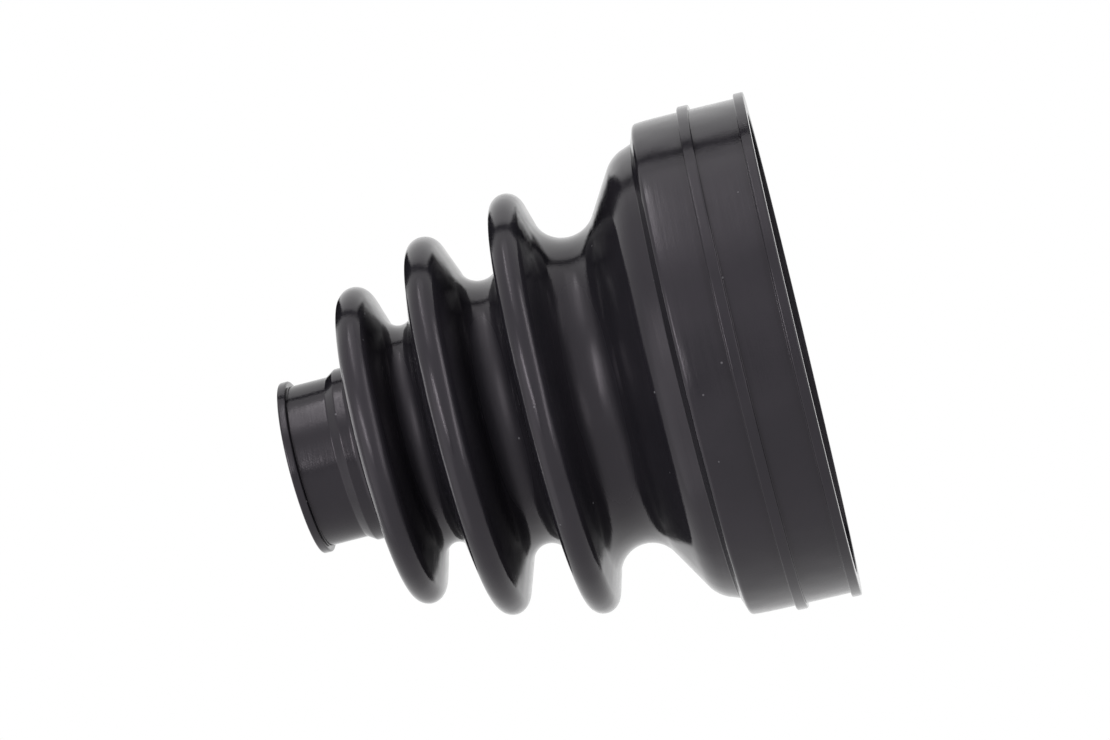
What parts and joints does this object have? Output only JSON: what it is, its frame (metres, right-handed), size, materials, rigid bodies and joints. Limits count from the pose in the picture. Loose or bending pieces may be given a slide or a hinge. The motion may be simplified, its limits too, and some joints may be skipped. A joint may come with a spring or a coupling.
{
  "type": "rubber bellows boot",
  "caption": "Moulded rubber bellows boot that seals a drive shaft joint, with tapering folds between a wide and a narrow clamp collar.",
  "frame": {"origin": "centre of the large end face, which the boot stands on", "axes": "+Z along the boot's axis, from the large collar to the small collar"},
  "size_m": [0.0958, 0.0958, 0.0965],
  "materials": {
    "boot_rubber": "semi-gloss moulded"
  },
  "bodies": {
    "root": {"bellows_boot": "boot_rubber"}
  },
  "joints": []
}
